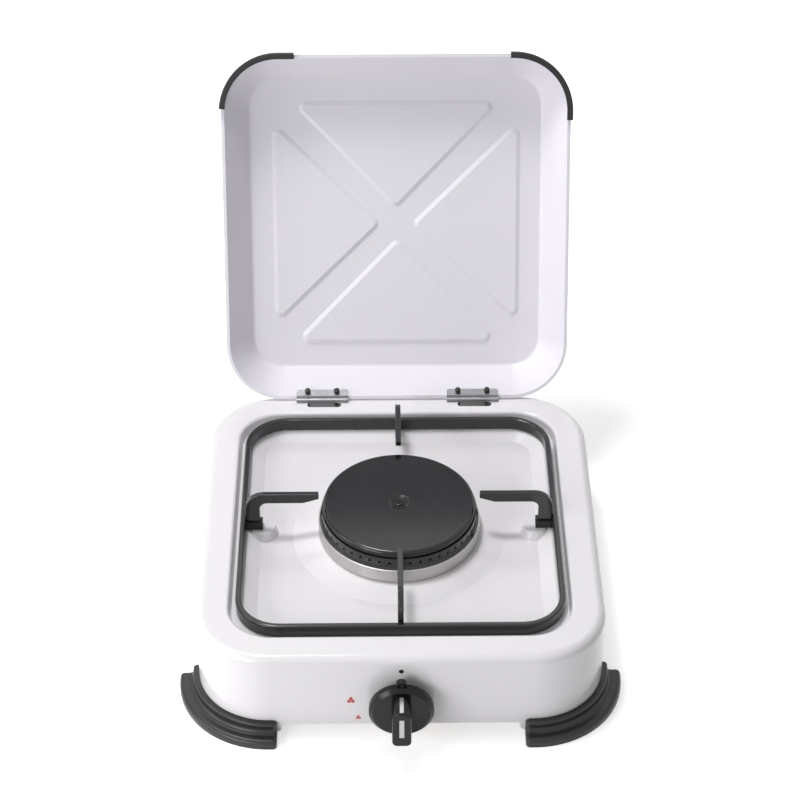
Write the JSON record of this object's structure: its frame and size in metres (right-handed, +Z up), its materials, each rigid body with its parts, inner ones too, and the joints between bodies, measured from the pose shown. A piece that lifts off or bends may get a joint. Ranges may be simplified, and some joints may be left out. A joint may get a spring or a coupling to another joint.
{
  "type": "single burner gas stove",
  "caption": "White enamelled table-top gas stove with a round burner, a black pan support, a front knob and a fold-up lid on rear hinges.",
  "frame": {"origin": "on the table, under the middle of the body", "axes": "+Z up, -Y out of the front where the knob is, +X to the right of someone facing the front"},
  "size_m": [0.308, 0.4227, 0.3166],
  "materials": {
    "enamel_white": "gloss",
    "enamel_black": "satin",
    "boot_black": "matte",
    "foot_plastic": "satin",
    "guard_rubber": "matte",
    "bowl_aluminium": "brushed",
    "knob_plastic": "satin",
    "pointer_silver": "satin",
    "zinc_steel": "satin",
    "nut_black": "gloss",
    "tap_brass": "satin",
    "tube_steel": "satin",
    "spring_steel": "satin"
  },
  "bodies": {
    "body": {"body_shell": "enamel_white", "foot_front_left": "foot_plastic", "foot_front_right": "foot_plastic", "foot_rear_left": "foot_plastic", "foot_rear_right": "foot_plastic", "burner_bowl": "bowl_aluminium", "hinge_tongue_left": "zinc_steel", "hinge_tongue_right": "zinc_steel", "hinge_bracket_left": "zinc_steel", "hinge_bracket_right": "zinc_steel", "hinge_pin_left": "zinc_steel", "hinge_pin_right": "zinc_steel", "foot_screws": "zinc_steel", "bowl_screws": "zinc_steel", "bowl_nuts": "zinc_steel", "tap_body": "tap_brass", "tap_nut": "tap_brass", "injector": "tap_brass", "pipe_nut": "tap_brass", "hose_spigot": "tap_brass", "spigot_nut": "tap_brass", "mixing_tube": "tube_steel", "gas_pipe": "tube_steel", "tap_spring": "spring_steel"},
    "lid": {"lid_shell": "enamel_white", "lid_guard_left": "guard_rubber", "lid_guard_right": "guard_rubber", "hinge_leaf_left": "zinc_steel", "hinge_leaf_right": "zinc_steel", "hinge_screws": "zinc_steel", "hinge_nuts": "nut_black"},
    "push": {"thrust_washer": "zinc_steel"},
    "knob": {"knob": "knob_plastic", "knob_pointer": "pointer_silver", "knob_clip": "zinc_steel", "tap_stem": "tap_brass"},
    "pan_support": {"pan_frame": "enamel_black", "prong_left": "enamel_black", "prong_right": "enamel_black", "prong_front": "enamel_black", "prong_rear": "enamel_black", "pan_boots": "boot_black"},
    "crown": {"burner_crown": "enamel_black"},
    "cap": {"burner_cap": "enamel_black"}
  },
  "joints": [
    {"name": "lid_hinge", "type": "hinge", "parent": "body", "child": "lid", "pos_m": [0, 0.134, 0.0727], "axis": [-1, 0, 0], "range_deg": [-112, 0]},
    {"name": "knob_push", "type": "slide", "parent": "body", "child": "push", "axis": [0, 1, 0], "range_m": [0, 0.003], "stiffness_N_per_m": 1500, "springref_m": -0.002, "deforming": ["tap_spring"]},
    {"name": "knob_turn", "type": "hinge", "parent": "push", "child": "knob", "pos_m": [0, -0.15, 0.0325], "axis": [0, -1, 0], "range_deg": [0, 120]},
    {"name": "pan_support_lift", "type": "slide", "parent": "body", "child": "pan_support", "axis": [0, 0, 1], "range_m": [0, 0.06]},
    {"name": "crown_lift", "type": "slide", "parent": "body", "child": "crown", "axis": [0, 0, 1], "range_m": [0, 0.03]},
    {"name": "cap_lift", "type": "slide", "parent": "crown", "child": "cap", "axis": [0, 0, 1], "range_m": [0, 0.03]}
  ]
}
